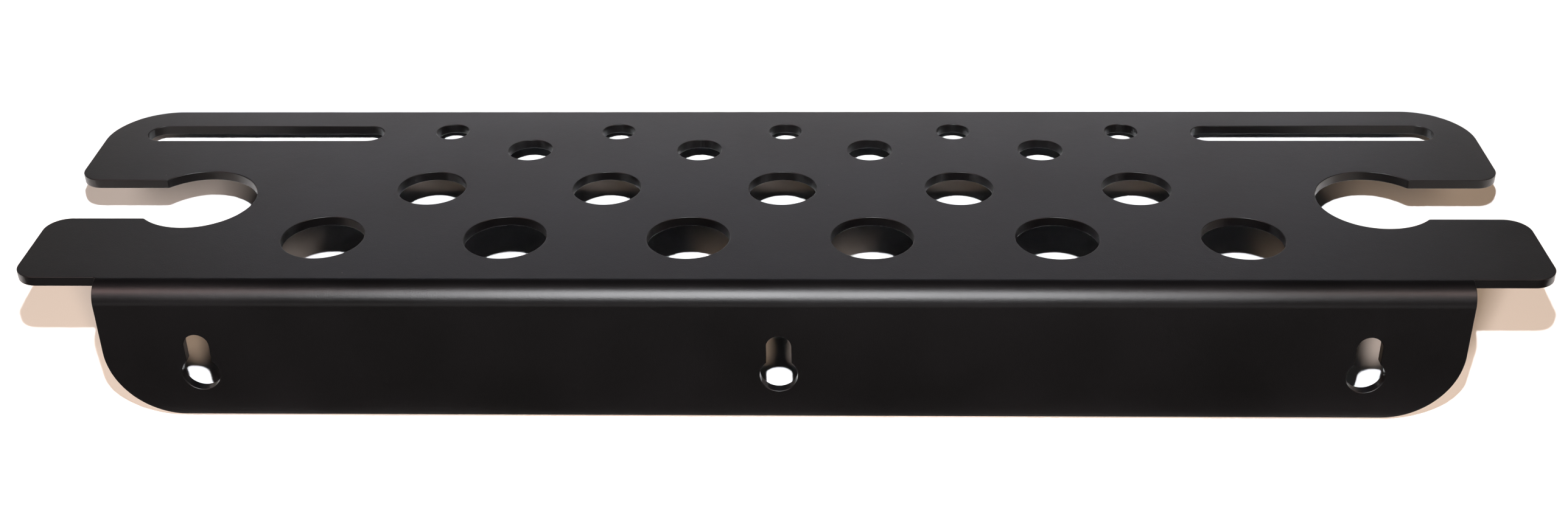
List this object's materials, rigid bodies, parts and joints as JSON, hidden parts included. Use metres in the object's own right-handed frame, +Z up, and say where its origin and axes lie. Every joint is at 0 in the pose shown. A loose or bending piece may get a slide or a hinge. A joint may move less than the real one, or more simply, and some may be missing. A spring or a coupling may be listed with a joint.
{
  "type": "wall tool rack plate",
  "caption": "Bent sheet steel wall rack with graded round holes, slots and side notches for hand tools, hung on screws by keyholes in its flange.",
  "frame": {"origin": "on the wall face, at the seat of the middle keyhole, where the middle of its screw's shank ends up", "axes": "+X along the wall, +Y away from the wall, +Z up. The wall face is the plane Y = 0, the shelf's top face is 17.6 mm above the origin, and the flange hangs below the shelf."},
  "size_m": [0.4, 0.102, 0.0393],
  "materials": {
    "coated_steel": "matte black powder coat with a fine even grain"
  },
  "bodies": {
    "root": {"rack_plate": "coated_steel"}
  },
  "joints": []
}
